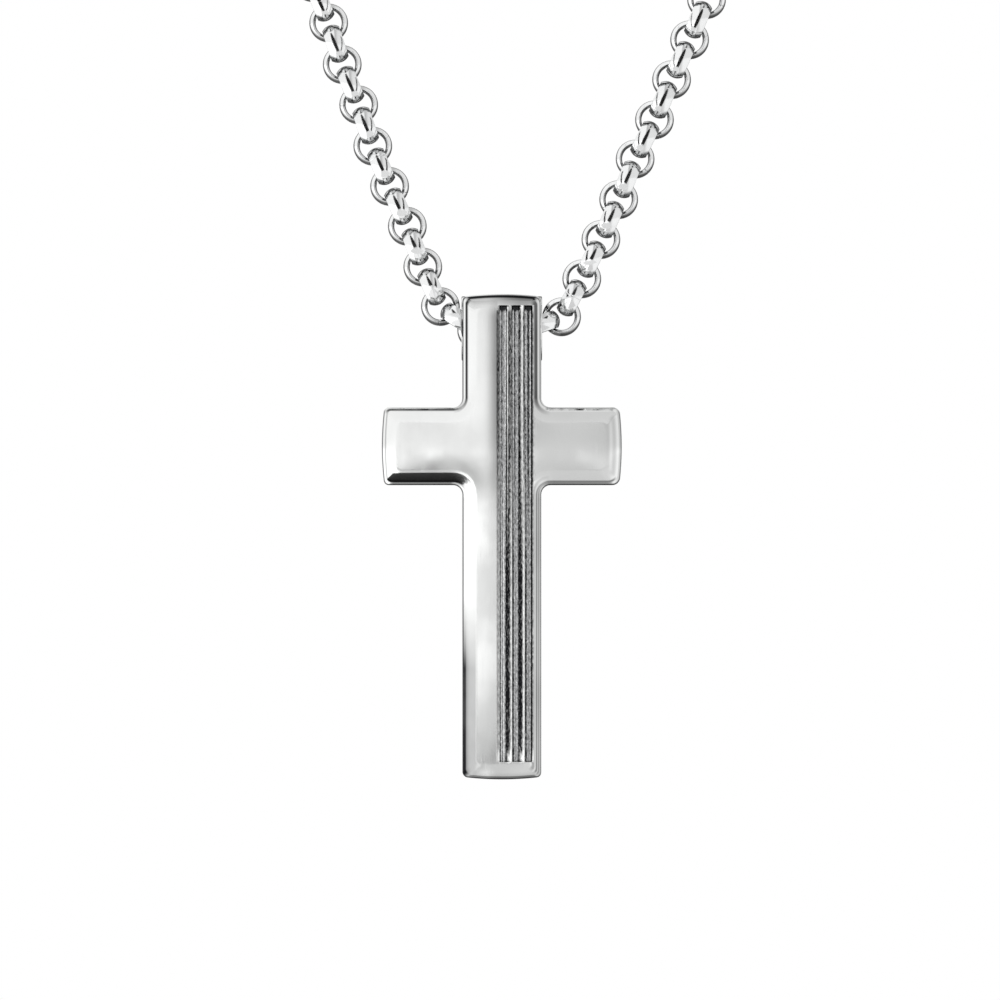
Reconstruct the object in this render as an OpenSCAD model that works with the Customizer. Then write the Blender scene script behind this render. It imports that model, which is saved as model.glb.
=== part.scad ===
// Cross pendant on its chain, as it hangs round a neck.
// Millimetres, +Z up, the cross faces -Y, and the origin is where the clasp rests on the nape.

/* [Cross] */
// Height of the cross
cross_h = 43.7; // [38:0.1:50]
// Width across the arms
cross_w = 21.6; // [19:0.1:26]
// Width of the upright
upright_w = 7.1; // [6.9:0.05:7.2]
// Height of the arms
arm_h = 7; // [6:0.1:8]
// From the top of the cross down to the middle of its arms
arm_drop = 13.7; // [12:0.1:16]
// Thickness of the cross
cross_t = 3.8; // [3.5:0.1:4.6]
// How far each end bows outward
end_bow = 0.22; // [0.1:0.02:0.4]
// Radius of the four inner corners
inner_r = 0.85; // [0.6:0.05:1.4]

/* [Edges] */
// Width of the soft roll along the front edges
roll_w = 0.85; // [0.5:0.05:1.2]
// Radius of that roll
roll_r = 2; // [1.8:0.1:3]
// Slope at which the roll leaves the flat face, in degrees
roll_start = 6; // [4:1:9]
// Width of the crisp bevel outside the roll
bevel_w = 0.28; // [0.15:0.01:0.35]
// Depth of that bevel
bevel_h = 0.33; // [0.2:0.01:0.4]
// Size of the small bevel round the back
back_bevel = 0.3; // [0.1:0.05:0.5]

/* [Grooves] */
// Number of grooves
groove_count = 3; // [2:1:3]
// Width of one groove
groove_w = 0.72; // [0.4:0.02:0.8]
// From one groove's middle to the next one's
groove_pitch = 1.13; // [0.9:0.01:1.15]
// From the upright's middle to the first groove's middle
groove_first = 0.12; // [-0.2:0.01:0.2]
// Depth of the grooves
groove_depth = 0.32; // [0.15:0.01:0.5]
// From the top of the cross to the grooves
groove_top_gap = 1; // [0.8:0.05:3]
// From the foot of the cross to the grooves
groove_foot_gap = 1.55; // [0.8:0.05:4]

/* [Chain] */
// Outer diameter of a link
link_od = 3.5; // [3.4:0.02:3.6]
// Wall of a link, measured across its ring
link_wall = 0.576; // [0.5:0.01:0.6]
// Width of a link's band
link_w = 1.6; // [1.4:0.02:1.6]
// Width of the flat round the band's outside
crest_w = 0.72; // [0.5:0.02:0.72]
// Radius of the rounding of the band's inside
bore_crown_r = 1.5; // [1.4:0.05:2]
// Slack between a link's seat and the next link's
link_play = 0.375; // [0.36:0.005:0.5]

/* [Eye] */
// Room round the chain in the tunnel eye
tunnel_play = 0.6; // [0.5:0.02:0.66]
// Wall of the tunnel eye
eye_wall = 0.55; // [0.4:0.05:0.7]
// Metal left in front of the tunnel at the bevelled edge
front_skin = 0.43; // [0.3:0.01:0.8]
// From the tunnel eye's wall to the top of the cross
eye_cover = 0.16; // [0.05:0.01:0.5]
// How far the tunnel eye's rims stand out past the upright's sides
rim_proud = 0.08; // [0.03:0.01:0.1]

/* [Clasp] */
// From the middle of one clasp eye to the middle of the other
clasp_len = 22; // [18:0.5:26]
// Radius of the clasp's barrel
barrel_r = 1.6; // [1.2:0.1:2]
// Radius of the wire of the clasp's eyes
eye_wire_r = 0.4; // [0.3:0.02:0.42]

/* [Hidden] */
$fn = 48;

// The route of the chain's middle line, from the left clasp eye down to the tunnel and up to the right clasp
// eye. Columns: x, depth behind the tunnel's axis, height above that axis, and the way the flat of a face-on
// link looks, in degrees round from the front.
ROUTE = [
    [-clasp_len / 2, 109.8, 142.5, -172],
    [-20.5, 107.2, 142.2, -162],
    [-30.4, 102.6, 141.3, -150],
    [-40.6, 95, 139.5, -136],
    [-49.3, 84, 136.1, -121],
    [-54.8, 71, 130.9, -106],
    [-56.7, 57, 123.5, -90],
    [-55.3, 43, 113.8, -73],
    [-51.2, 29.8, 102.2, -55],
    [-45.6, 18.4, 88.8, -37],
    [-38.6, 9.4, 73.9, -20],
    [-30.6, 3.4, 57.6, -7],
    [-22.8, 0.4, 42.5, 0],
    [-15.67, 0, 27.7, 0],
    [-14.43, 0, 23.9, 0],
    [-12.96, 0, 20.3, 0],
    [-11.68, 0, 16.55, 0],
    [-10.2, 0, 12.99, 0],
    [-8.62, 0, 9.45, 0],
    [-7.2, 0, 5.72, 0],
    [-5.54, 0, 1.98, 0],
    [-3.85, 0, 0.78, 0],
    [-2.23, 0, -0.2, 0],
    [-0.31, 0, -0.2, 0],
    [1.62, 0, -0.2, 0],
    [3.52, 0, 0.4, 0],
    [5.41, 0, 1.05, 0],
    [7.28, 0, 4.6, 0],
    [9.01, 0, 8.16, 0],
    [10.65, 0, 11.86, 0],
    [12.14, 0, 15.52, 0],
    [13.86, 0, 18.99, 0],
    [15.39, 0, 22.6, 0],
    [17.02, 0, 26.2, 0],
    [18.53, 0, 29.8, 0],
    [25, 0.4, 43.7, 0],
    [31.8, 3.4, 58.1, 7],
    [39.2, 9.4, 73.7, 20],
    [45.8, 18.4, 88.6, 37],
    [51.1, 29.8, 102.1, 55],
    [55, 43, 113.8, 73],
    [56.3, 57, 123.5, 90],
    [54.4, 71, 130.9, 106],
    [48.9, 84, 136.1, 121],
    [40.2, 95, 139.5, 136],
    [30.4, 102.6, 141.3, 150],
    [20.5, 107.2, 142.2, 162],
    [clasp_len / 2, 109.8, 142.5, 172]
];
// Row of the route that lies in the middle of the tunnel
MIDDLE = 23;
// Samples on each stretch of the route
STEPS = 12;

// Edge profile of the cross
edge_w = roll_w + bevel_w;
roll_back = roll_r * sin(roll_start);
roll_depth = roll_r * cos(roll_start);
roll_drop = roll_depth - sqrt(pow(roll_r, 2) - pow(roll_w + roll_back, 2));
edge_drop = roll_drop + bevel_h;
// Width of plate drawn behind an edge before it is cut to size
far = 2 * cross_h;

// Tunnel eye
tunnel_r = link_od / 2 + tunnel_play;
eye_r = tunnel_r + eye_wall;
tunnel_y = edge_drop + front_skin + tunnel_r;
tunnel_drop = eye_r + eye_cover;

// Links
link_inner_r = link_od / 2 - link_wall;
link_pitch = 2 * link_inner_r - link_play;
bore_centre = link_inner_r + bore_crown_r;
rim_r = bore_centre - sqrt(pow(bore_crown_r, 2) - pow(link_w / 2, 2));
flank_slope = (link_w - crest_w) / 2 / (link_od / 2 - rim_r);

// The route as a smooth curve: each stretch is a cubic whose end slopes follow the neighbouring points.
function xyz(row) = [row[0], row[1], row[2]];
function stretch(i) = norm(xyz(ROUTE[i + 1]) - xyz(ROUTE[i]));
function chord(i) = (ROUTE[i + 1] - ROUTE[i]) / stretch(i);
function slope(i) =
    i == 0 ? chord(0)
    : i == len(ROUTE) - 1 ? chord(i - 1)
    : (chord(i) * stretch(i - 1) + chord(i - 1) * stretch(i)) / (stretch(i) + stretch(i - 1));
function on_stretch(i, u) =
    (1 + 2 * u) * pow(1 - u, 2) * ROUTE[i]
    + u * pow(1 - u, 2) * stretch(i) * slope(i)
    + pow(u, 2) * (3 - 2 * u) * ROUTE[i + 1]
    - pow(u, 2) * (1 - u) * stretch(i) * slope(i + 1);
CURVE = concat(
    [for (i = [0 : len(ROUTE) - 2], j = [0 : STEPS - 1]) on_stretch(i, j / STEPS)],
    [ROUTE[len(ROUTE) - 1]]
);
RUN = [
    for (i = 0, s = 0; i < len(CURVE);
        s = s + (i + 1 < len(CURVE) ? norm(xyz(CURVE[i + 1]) - xyz(CURVE[i])) : 0), i = i + 1) s
];
TABLE = [for (k = [0 : 3]) [for (i = [0 : len(CURVE) - 1]) [RUN[i], CURVE[i][k]]]];
run_middle = RUN[MIDDLE * STEPS];
run_end = RUN[len(RUN) - 1];
function at_run(s) = [for (k = [0 : 2]) lookup(s, TABLE[k])];
function facing(s) = lookup(s, TABLE[3]);

// Links on each side of the middle one, an even number so that the last one meets the clasp's flat eye
function even_links(run) = 2 * round((run / link_pitch - 1) / 2);
left_links = even_links(run_middle);
right_links = even_links(run_end - run_middle);
left_step = run_middle / (left_links + 1);
right_step = (run_end - run_middle) / (right_links + 1);

// The row's origin is on the nape, under the middle of the clasp
tunnel_at = [0, -ROUTE[0][1] + barrel_r, -ROUTE[0][2]];

// Section of a plate whose edge lies at x = edge: flat face, soft roll, crisp bevel, wall and back bevel.
// Its front is y = 0 and its back y = cross_t.
module edge_section(edge) {
    roll_x = edge - edge_w - roll_back;
    intersection() {
        union() {
            translate([edge - far, 0]) square([far - edge_w - roll_back, cross_t]);
            translate([roll_x, roll_depth]) circle(r = roll_r);
            translate([roll_x, roll_depth]) square([roll_back + edge_w, cross_t - roll_depth]);
        }
        polygon([
            [edge - far, 0],
            [edge - bevel_w - roll_drop * bevel_w / bevel_h, 0],
            [edge, edge_drop],
            [edge, cross_t - back_bevel],
            [edge - back_bevel, cross_t],
            [edge - far, cross_t]
        ]);
    }
}

// A straight bar up from z = 0, with both edges finished, between x = -half and x = half
module bar(half, length) {
    linear_extrude(height = length) intersection() {
        edge_section(half);
        mirror([1, 0]) edge_section(half);
    }
}

// A disc with the same edge round it, its middle at z = high - r, which gives an end its outward bow
module bowed_end(half, high) {
    r = (pow(half, 2) + pow(end_bow, 2)) / (2 * end_bow);
    translate([0, 0, high - r]) rotate([-90, 0, 0]) rotate_extrude() intersection() {
        edge_section(r);
        square([r, cross_t]);
    }
}

// One limb of the cross, out from the block where the bars meet
module limb(half, from, high) {
    intersection() {
        translate([0, 0, from]) bar(half, high - from);
        bowed_end(half, high);
    }
}

// The plate outside one rounded inner corner, with the edge running round the corner
module corner_plate(x, z) {
    translate([x, 0, z]) rotate([-90, 0, 0]) rotate_extrude() intersection() {
        mirror([1, 0]) edge_section(-inner_r);
        square([far / 2, cross_t]);
    }
}

// The plain cross about the middle of its arms, front face at y = 0
module cross_body() {
    half_x = upright_w / 2;
    half_z = arm_h / 2;
    foot = cross_h - arm_drop;
    reach_x = half_x + inner_r;
    reach_z = half_z + inner_r;
    intersection() {
        translate([-reach_x, 0, -reach_z]) cube([2 * reach_x, cross_t, 2 * reach_z]);
        corner_plate(reach_x, reach_z);
        corner_plate(-reach_x, reach_z);
        corner_plate(reach_x, -reach_z);
        corner_plate(-reach_x, -reach_z);
    }
    limb(half_x, reach_z, arm_drop);
    mirror([0, 0, 1]) limb(half_x, reach_z, foot);
    rotate([0, 90, 0]) limb(half_z, reach_x, cross_w / 2);
    rotate([0, -90, 0]) limb(half_z, reach_x, cross_w / 2);
}

// One sunk groove with rounded ends, cut in from the front
module groove() {
    end_r = groove_w / 2;
    length = cross_h - groove_top_gap - groove_foot_gap;
    translate([0, groove_depth, -groove_top_gap - end_r]) rotate([90, 0, 0]) {
        cylinder(r = end_r, h = 2 * groove_depth);
        translate([-end_r, -length + groove_w, 0]) cube([groove_w, length - groove_w, 2 * groove_depth]);
        translate([0, -length + groove_w, 0]) cylinder(r = end_r, h = 2 * groove_depth);
    }
}

// The cross with its grooves and its tunnel eye, about the tunnel's axis
module cross() {
    eye_w = upright_w + 2 * rim_proud;
    color("gainsboro") translate(tunnel_at) difference() {
        union() {
            translate([0, -tunnel_y, tunnel_drop - arm_drop]) cross_body();
            rotate([0, 90, 0]) cylinder(r = eye_r, h = eye_w, center = true);
        }
        rotate([0, 90, 0]) cylinder(r = tunnel_r, h = 2 * eye_w, center = true);
        for (i = [0 : groove_count - 1]) {
            translate([groove_first + i * groove_pitch, -tunnel_y, tunnel_drop]) groove();
        }
    }
}

// One link: a ring about the Z axis. Its band has a flat crest between two slopes outside and is rounded inside.
module link() {
    half_at_axis = crest_w / 2 + flank_slope * link_od / 2;
    rotate_extrude() intersection() {
        polygon([
            [link_od / 2, -crest_w / 2],
            [link_od / 2, crest_w / 2],
            [0, half_at_axis],
            [0, -half_at_axis]
        ]);
        translate([bore_centre, 0]) circle(r = bore_crown_r);
    }
}

// Puts a ring at run s of the route, between rings a step away on each side. Face-on rings look the way the
// route says. The others stand across, in line with the two face-on rings that they join.
module on_route(s, step, face_on) {
    before = at_run(s - step);
    after = at_run(s + step);
    along = (after - before) / norm(after - before);
    look = [sin(facing(s)), -cos(facing(s)), 0];
    level = look - (look * along) * along;
    flat = level / norm(level);
    axis = face_on ? flat : cross(flat, along);
    side = cross(axis, along);
    at = face_on ? at_run(s) : (before + after) / 2;
    multmatrix([
        [along[0], side[0], axis[0], at[0]],
        [along[1], side[1], axis[1], at[1]],
        [along[2], side[2], axis[2], at[2]]
    ]) children();
}

// The whole loop of links, turned a quarter from one to the next
module chain() {
    color("silver") translate(tunnel_at) {
        on_route(run_middle, link_pitch, false) link();
        for (k = [1 : left_links]) on_route(run_middle - k * left_step, left_step, k % 2 == 1) link();
        for (k = [1 : right_links]) on_route(run_middle + k * right_step, right_step, k % 2 == 1) link();
    }
}

// The hidden clasp: a plain barrel with round ends and an eye at each end
module clasp() {
    eye_mean_r = link_inner_r + eye_wire_r;
    barrel_half = clasp_len / 2 - eye_mean_r - barrel_r;
    color("silver") translate([0, barrel_r, 0]) {
        rotate([0, 90, 0]) cylinder(r = barrel_r, h = 2 * barrel_half, center = true);
        for (side = [-1, 1]) {
            translate([side * barrel_half, 0, 0]) sphere(r = barrel_r);
            translate([side * clasp_len / 2, 0, 0]) rotate([90, 0, 0]) rotate_extrude() {
                translate([eye_mean_r, 0]) circle(r = eye_wire_r);
            }
        }
    }
}

cross();
chain();
clasp();
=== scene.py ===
# %% [markdown]
# # A steel cross on a round-link chain
#
# The solids of this necklace already exist, at their true size and place. This lesson dresses them:
# it models the polished cross, the links and the clasp with the edges, seams and marks that a
# finished piece of jewellery has, gives them steel made of shader nodes, and lights them in a studio.
# Nothing is moved: every new piece sits where its solid is, and moves with the same body.

import math

import bmesh
import bpy
import numpy as np
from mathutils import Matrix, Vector
from mathutils.geometry import delaunay_2d_cdt


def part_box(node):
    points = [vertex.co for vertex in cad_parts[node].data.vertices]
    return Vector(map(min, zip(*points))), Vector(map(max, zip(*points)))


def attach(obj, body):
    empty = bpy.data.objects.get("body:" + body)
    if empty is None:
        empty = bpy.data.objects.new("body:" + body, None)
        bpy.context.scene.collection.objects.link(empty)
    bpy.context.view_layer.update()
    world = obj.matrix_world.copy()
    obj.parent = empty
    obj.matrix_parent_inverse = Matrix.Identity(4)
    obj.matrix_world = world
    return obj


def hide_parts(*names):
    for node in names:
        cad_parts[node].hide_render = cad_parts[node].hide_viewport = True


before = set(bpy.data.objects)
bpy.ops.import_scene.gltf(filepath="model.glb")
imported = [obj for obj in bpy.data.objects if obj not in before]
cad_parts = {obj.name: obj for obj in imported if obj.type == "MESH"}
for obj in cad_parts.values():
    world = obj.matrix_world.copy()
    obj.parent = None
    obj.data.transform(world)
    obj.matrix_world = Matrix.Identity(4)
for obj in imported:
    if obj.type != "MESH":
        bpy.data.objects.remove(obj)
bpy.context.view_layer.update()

# %% [markdown]
# ## Working in millimetres
#
# Blender counts in metres, while a jeweller thinks in millimetres. One way is to write every size
# with three zeros in front. It is easier to think, and to check, in millimetres and to turn them
# into metres once, where a mesh is made, so that is what this helper does.

# %% A mesh from points in millimetres
MM = 0.001


def placed(name, data):
    """A new object in the scene that holds this mesh or camera."""
    made = bpy.data.objects.new(name, data)
    bpy.context.scene.collection.objects.link(made)
    return made


def piece_from(name, points, faces, at=(0, 0, 0)):
    """A new object from points in millimetres about the place at, which is in metres."""
    mesh = bpy.data.meshes.new(name)
    places = np.asarray(points, float) * MM + np.array(at)
    mesh.from_pydata(places.tolist(), [], faces)
    return placed(name, mesh)


# %% [markdown]
# ## The outline of the cross
#
# Seen from the front, the cross is two bars with slightly bowed ends, rounded outer corners and
# small fillets in its inner corners. Polishing is what rounds the outer corners, and never all of
# them alike. The outline could be drawn as a curve by hand. It is worked out here instead, corner
# by corner, because the steps of the edge need the same outline again, each a little further in.

# %% Sizes of the cross
HALF_UPRIGHT = 3.55
HALF_ARM = 3.5
TOP = 13.7
FOOT = -30.0
REACH = 10.8
THICK = 3.8
FILLET = 0.85

cross_low, cross_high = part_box("cross")
CROSS_AT = Vector(((cross_low.x + cross_high.x) / 2, cross_low.y, cross_high.z - TOP * MM))
print("cross stands at", [round(v / MM, 2) for v in CROSS_AT], "mm")

# %% Corners, each with its own rounding
UPRIGHT_ROUNDING = {(1, 1): 0.5, (-1, 1): 0.42, (-1, -1): 0.48, (1, -1): 0.4}
ARM_ROUNDING = {(1, 1): 0.55, (-1, 1): 0.38, (-1, -1): 0.4, (1, -1): 0.62}


def corners(depth):
    """Corner places and roundings of the outline moved in by depth, anticlockwise from top right."""
    side, level, reach = HALF_UPRIGHT - depth, HALF_ARM - depth, REACH - depth
    rows = []
    for right, up in ((-1, 1), (-1, -1), (1, -1), (1, 1)):
        end = (right * side, TOP - depth if up > 0 else FOOT + depth, UPRIGHT_ROUNDING[right, up])
        inner = (right * side, up * level, FILLET + depth)
        tip = (right * reach, up * level, ARM_ROUNDING[right, up])
        rows += (tip, inner, end) if right == up else (end, inner, tip)
    return rows[-1:] + rows[:-1]


# %% [markdown]
# ## Bowed ends
#
# The ends of the bars bulge by a fifth of a millimetre. Each end is bent by sliding its points
# along the bar: most at the bar's sides, not at all further in. That keeps the corners' rounding,
# which an arc drawn across the end would have to meet in some other way.

# %% The outline at any depth
BOW = 0.22
BOW_FROM, BOW_FULL = 3.4, 2.1
ARC_STEPS = 9
POINT_GAP = 0.3
ARCS_TAKE = 1.0


def ease(value, start, end):
    """0 at start, 1 at end, and an even change between."""
    return np.clip((value - start) / (end - start), 0, 1)


def inset(depth):
    """Points of the outline moved in by depth, in millimetres, as many at every depth."""
    rows, whole_rows = corners(depth), corners(0)
    spots = np.array([c[:2] for c in rows])
    turn = np.linspace(0, math.pi / 2, ARC_STEPS)[:, None]
    arcs = []
    for i, (_, _, rounding) in enumerate(rows):
        to_last, to_next = spots[i - 1] - spots[i], spots[(i + 1) % len(rows)] - spots[i]
        u, v = to_last / np.linalg.norm(to_last), to_next / np.linalg.norm(to_next)
        middle = spots[i] + (u + v) * rounding
        arcs.append(middle - rounding * (np.cos(turn) * v + np.sin(turn) * u))
    points = []
    for i, arc in enumerate(arcs):
        after = (i + 1) % len(arcs)
        whole = math.dist(whole_rows[i][:2], whole_rows[after][:2])
        count = max(1, round((whole - ARCS_TAKE) / POINT_GAP))
        start, end = arc[-1], arcs[after][0]
        points.extend(arc)
        points.extend(start + (end - start) * k / count for k in range(1, count))
    x, z = np.array(points).T
    by_upright = BOW * (x / HALF_UPRIGHT) ** 2
    by_arm = BOW * (z / HALF_ARM) ** 2
    bent_z = z - by_upright * ease(z, TOP - BOW_FROM, TOP - BOW_FULL)
    bent_z += by_upright * ease(-z, -FOOT - BOW_FROM, -FOOT - BOW_FULL)
    bent_x = x - np.sign(x) * by_arm * ease(np.abs(x), REACH - BOW_FROM, REACH - BOW_FULL)
    return np.stack([bent_x, bent_z], 1)


outline = inset(0)
print("outline of", len(outline), "points")

# %% [markdown]
# ## How far a point is from the edge
#
# The whole front of the cross can be described by one question: how far in from the edge is this
# point? On a bar it is the shorter of the ways to the side and to the end. Where the two are
# alike, in a corner, a plain minimum would leave a mitre like a picture frame's, and polishing
# leaves none, so the two are blended along an arc. Where the bars meet, it is the way to the
# fillet.

# %% Distance to the edge
TURN_X, TURN_Z = HALF_UPRIGHT + FILLET, HALF_ARM + FILLET


def blended(a, b, rounding):
    """The smaller of two distances, with a round change from one to the other."""
    near = np.abs(a - b) < rounding
    spread = np.where(near, (a - b) ** 2, 0)
    round_part = (a + b - 2 * rounding + np.sqrt(2 * rounding**2 - spread)) / 2
    return np.where(near, round_part, np.minimum(a, b))


def from_edge(points):
    """How far in from the outline each point lies, in millimetres."""
    x, z = points.T
    wide, tall = np.abs(x), np.abs(z)
    meeting = np.hypot(TURN_X - wide, TURN_Z - tall) - FILLET
    to_end = np.where(z > 0, TOP - z, z - FOOT) - BOW * (x / HALF_UPRIGHT) ** 2
    to_tip = REACH - wide - BOW * (z / HALF_ARM) ** 2

    def rounding(table):
        right = np.where(z > 0, table[1, 1], table[1, -1])
        left = np.where(z > 0, table[-1, 1], table[-1, -1])
        return np.where(x > 0, right, left)

    on_upright = blended(HALF_UPRIGHT - wide, to_end, rounding(UPRIGHT_ROUNDING))
    on_arm = blended(HALF_ARM - tall, to_tip, rounding(ARM_ROUNDING))
    far_part = np.where(tall >= TURN_Z, on_upright, on_arm)
    return np.where((wide < TURN_X) & (tall < TURN_Z), meeting, far_part)


# %% [markdown]
# ## The faint swell of a buffed face
#
# A face that has been held against a soft wheel is never a true plane: it swells a little, most
# where the two bars meet. A flat face would mirror the studio like glass and look like a computer
# model. The swell could be sculpted. Here it is the shape of a soap film blown up inside the
# outline: each point of a grid is drawn to the mean of its four neighbours plus a little lift,
# over and over, until nothing changes.

# %% Blow up the film
FILM_GAP = 0.2
SWELL = 0.055
FILM_ROUNDS = 260
OVER_STEP = 1.8
TINY = 0.001

film_x = np.arange(-REACH - FILM_GAP, REACH + 1.5 * FILM_GAP, FILM_GAP)
film_z = np.arange(FOOT - FILM_GAP, TOP + 1.5 * FILM_GAP, FILM_GAP)
grid_x, grid_z = np.meshgrid(film_x, film_z, indexing="ij")
inside = (np.abs(grid_x) < HALF_UPRIGHT) & (grid_z > FOOT) & (grid_z < TOP)
inside |= (np.abs(grid_z) < HALF_ARM) & (np.abs(grid_x) < REACH)
checker = (np.add.outer(np.arange(len(film_x)), np.arange(len(film_z))) % 2).astype(bool)
film = np.zeros(inside.shape)
for _ in range(FILM_ROUNDS):
    for turn in (checker, ~checker):
        mean = np.zeros(film.shape)
        mean[1:-1, 1:-1] = film[2:, 1:-1] + film[:-2, 1:-1] + film[1:-1, 2:] + film[1:-1, :-2]
        target = (mean + FILM_GAP**2) / 4
        film = np.where(turn & inside, film + OVER_STEP * (target - film), film)
film *= SWELL / (HALF_UPRIGHT**2 / 2)
print("the face swells by up to", round(float(film.max()), 3), "mm")


def swell(points):
    """Height of the film over each point, in millimetres."""
    u = np.clip((points[:, 0] - film_x[0]) / FILM_GAP, 0, len(film_x) - 1 - TINY)
    v = np.clip((points[:, 1] - film_z[0]) / FILM_GAP, 0, len(film_z) - 1 - TINY)
    i, j = u.astype(int), v.astype(int)
    u, v = u - i, v - j
    near = film[i, j] * (1 - v) + film[i, j + 1] * v
    far = film[i + 1, j] * (1 - v) + film[i + 1, j + 1] * v
    return near * (1 - u) + far * u


# %% [markdown]
# ## The edge: a soft roll, then a crisp bevel
#
# From the face outwards the metal starts to roll with a slope that is only just felt, rounds off
# over a millimetre, and ends in a narrow bevel. The bevel's own outer edge is broken by the
# polishing cloth. A Bevel modifier gives round edges but not this mix of soft and crisp, so the
# height is written as a function of the distance from the edge.

# %% Depth of the front below the face
ROLL_W = 1.0
ROLL_R = 2.0
ROLL_START = math.radians(0.8)
BEVEL_W = 0.28
BEVEL_H = 0.33
BREAK = 0.09
EDGE_W = ROLL_W + BEVEL_W
roll_back = ROLL_R * math.sin(ROLL_START)
roll_depth = ROLL_R * math.cos(ROLL_START)
roll_drop = roll_depth - math.sqrt(ROLL_R**2 - (ROLL_W + roll_back) ** 2)
EDGE_DROP = roll_drop + BEVEL_H
WORN = 0.8 * BREAK


def edge_depth(inward):
    """How far the front lies behind the face, at a distance inward from the outline."""
    reach = np.clip(EDGE_W + roll_back - inward, 0, ROLL_W + roll_back)
    roll = roll_depth - np.sqrt(ROLL_R**2 - reach**2)
    bevel = EDGE_DROP - BEVEL_H / BEVEL_W * inward
    worn = WORN * (1 - np.clip(inward / BREAK, 0, 1)) ** 2
    return np.where(inward < BEVEL_W, bevel + worn, np.where(inward < EDGE_W, roll, 0))


print("the edge falls by", round(EDGE_DROP, 3), "mm")

# %% [markdown]
# ## Three sunk grooves
#
# Right of the middle run three long grooves. They were cut with a slanting tool: from each rough
# floor a flank leans up to the right, ends in a narrow round crest and drops steeply to the next
# floor. Flanks mirror something dark and crests something light, and a later step paints the finer
# lines between them. The grooves could be cut with booleans, but a table keeps the shading of the
# face clean: it gives the share of the depth that is reached at each x.

# %% Share of the grooves' depth, across and along
GROOVE_DEPTH = 0.32
GROOVE_X = [0.12, 1.25, 2.38]
GROOVE_TOP = TOP - 1
GROOVE_FOOT = FOOT + 1.55
FLOOR_HALF = 0.245
FIRST_SIDE = [(-0.47, 0), (-0.42, 0.012), (-0.37, 0.05), (-0.32, 0.15), (-0.255, 0.93)]
STEEP_SIDE = [(-0.375, 0), (-0.34, 0.012), (-0.315, 0.06), (-0.255, 0.93)]
LEANING_SIDE = [(FLOOR_HALF, 1), (0.265, 0.8), (0.48, 0.42), (0.68, 0.065), (0.72, 0.015)]
LAST_SIDE = [(FLOOR_HALF, 1), (0.27, 0.75), (0.4, 0.1), (0.45, 0)]
END_STEPS = [(0, 0), (0.04, 0.08), (0.1, 0.5), (0.14, 0.93), (0.19, 1)]

across_x, across_share = [], []
for middle in GROOVE_X:
    left_side = FIRST_SIDE if middle == GROOVE_X[0] else STEEP_SIDE
    right_side = LAST_SIDE if middle == GROOVE_X[-1] else LEANING_SIDE
    for step, share in left_side + [(-FLOOR_HALF, 1)] + right_side:
        across_x.append(middle + step)
        across_share.append(share)


def sunk(points):
    """Share of the grooves' depth at each point."""
    to_end = np.minimum(GROOVE_TOP - points[:, 1], points[:, 1] - GROOVE_FOOT)
    along = np.interp(to_end, *zip(*END_STEPS))
    return np.interp(points[:, 0], across_x, across_share) * along


# %% [markdown]
# ## The front as one sheet of triangles
#
# Every line that matters on the front becomes a row of points: the steps of the roll and bevel
# follow the outline, and the rims, walls and floors follow the grooves. A loose grid fills the
# rest. A Delaunay triangulation joins them all and keeps each row as an edge, so creases stay
# crisp where rows cross as well. Each point then takes its depth from the functions above.

# %% Rows of points along the edge and the grooves
LAST_ROW = EDGE_W + 0.14
EDGE_ROWS = [0, 0.015, 0.035, 0.06, BREAK, 0.13, 0.17, 0.23, BEVEL_W, 0.33, 0.38, 0.45]
EDGE_ROWS += [*np.linspace(0.55, EDGE_W, 7), LAST_ROW]
LINE_GAP = 0.16
sheet_points, sheet_edges = [], []


def add_row(row):
    """Adds a closed row of points, joined one to the next."""
    first = len(sheet_points)
    sheet_points.extend(row)
    sheet_edges.extend((first + k, first + (k + 1) % len(row)) for k in range(len(row)))


def add_lines(across, along):
    """Adds straight rows down the grooves, which are joined across as well at their ends."""
    first = len(sheet_points)
    sheet_points.extend((x, z) for x in across for z in along)
    for i in range(len(across)):
        for j in range(len(along)):
            here = first + i * len(along) + j
            if j + 1 < len(along):
                sheet_edges.append((here, here + 1))
            at_end = j < len(END_STEPS) or j >= len(along) - len(END_STEPS)
            if at_end and i + 1 < len(across):
                sheet_edges.append((here, here + len(along)))


for depth in EDGE_ROWS:
    add_row(inset(depth))
end_rows = [step for step, _ in END_STEPS]
lower_end, upper_end = GROOVE_FOOT + end_rows[-1], GROOVE_TOP - end_rows[-1]
between = np.linspace(lower_end, upper_end, round((upper_end - lower_end) / LINE_GAP))
along = [GROOVE_FOOT + step for step in end_rows] + list(between[1:-1])
along += [GROOVE_TOP - step for step in reversed(end_rows)]
add_lines(across_x, along)
print(len(sheet_points), "points in rows")

# %% A grid between the rows, finer on the rough floors
FACE_GAP = 0.36
FLOOR_GAP = 0.15
GRID_TO_ROW = 0.12
JITTER = 0.04
WHOLE_DEPTH = 0.999

chance = np.random.default_rng(7)


def grid(gap):
    """Points on a square grid inside the cross."""
    spans = ((-REACH, REACH), (FOOT, TOP))
    gx, gz = np.meshgrid(*(np.arange(start, end, gap) + gap / 2 for start, end in spans))
    points = np.stack([gx.ravel(), gz.ravel()], 1)
    wide, tall = np.abs(points).T
    return points[(wide < HALF_UPRIGHT) | (tall < HALF_ARM)]


def in_field(points, margin):
    """True for points in the block of grooves, or less than margin from it."""
    x, z = points.T
    beside = (x > across_x[0] - margin) & (x < across_x[-1] + margin)
    return beside & (z > GROOVE_FOOT - margin) & (z < GROOVE_TOP + margin)


def from_middle(points):
    """How far each point is from the middle line of the nearest groove."""
    return np.min([np.abs(points[:, 0] - middle) for middle in GROOVE_X], 0)


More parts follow.
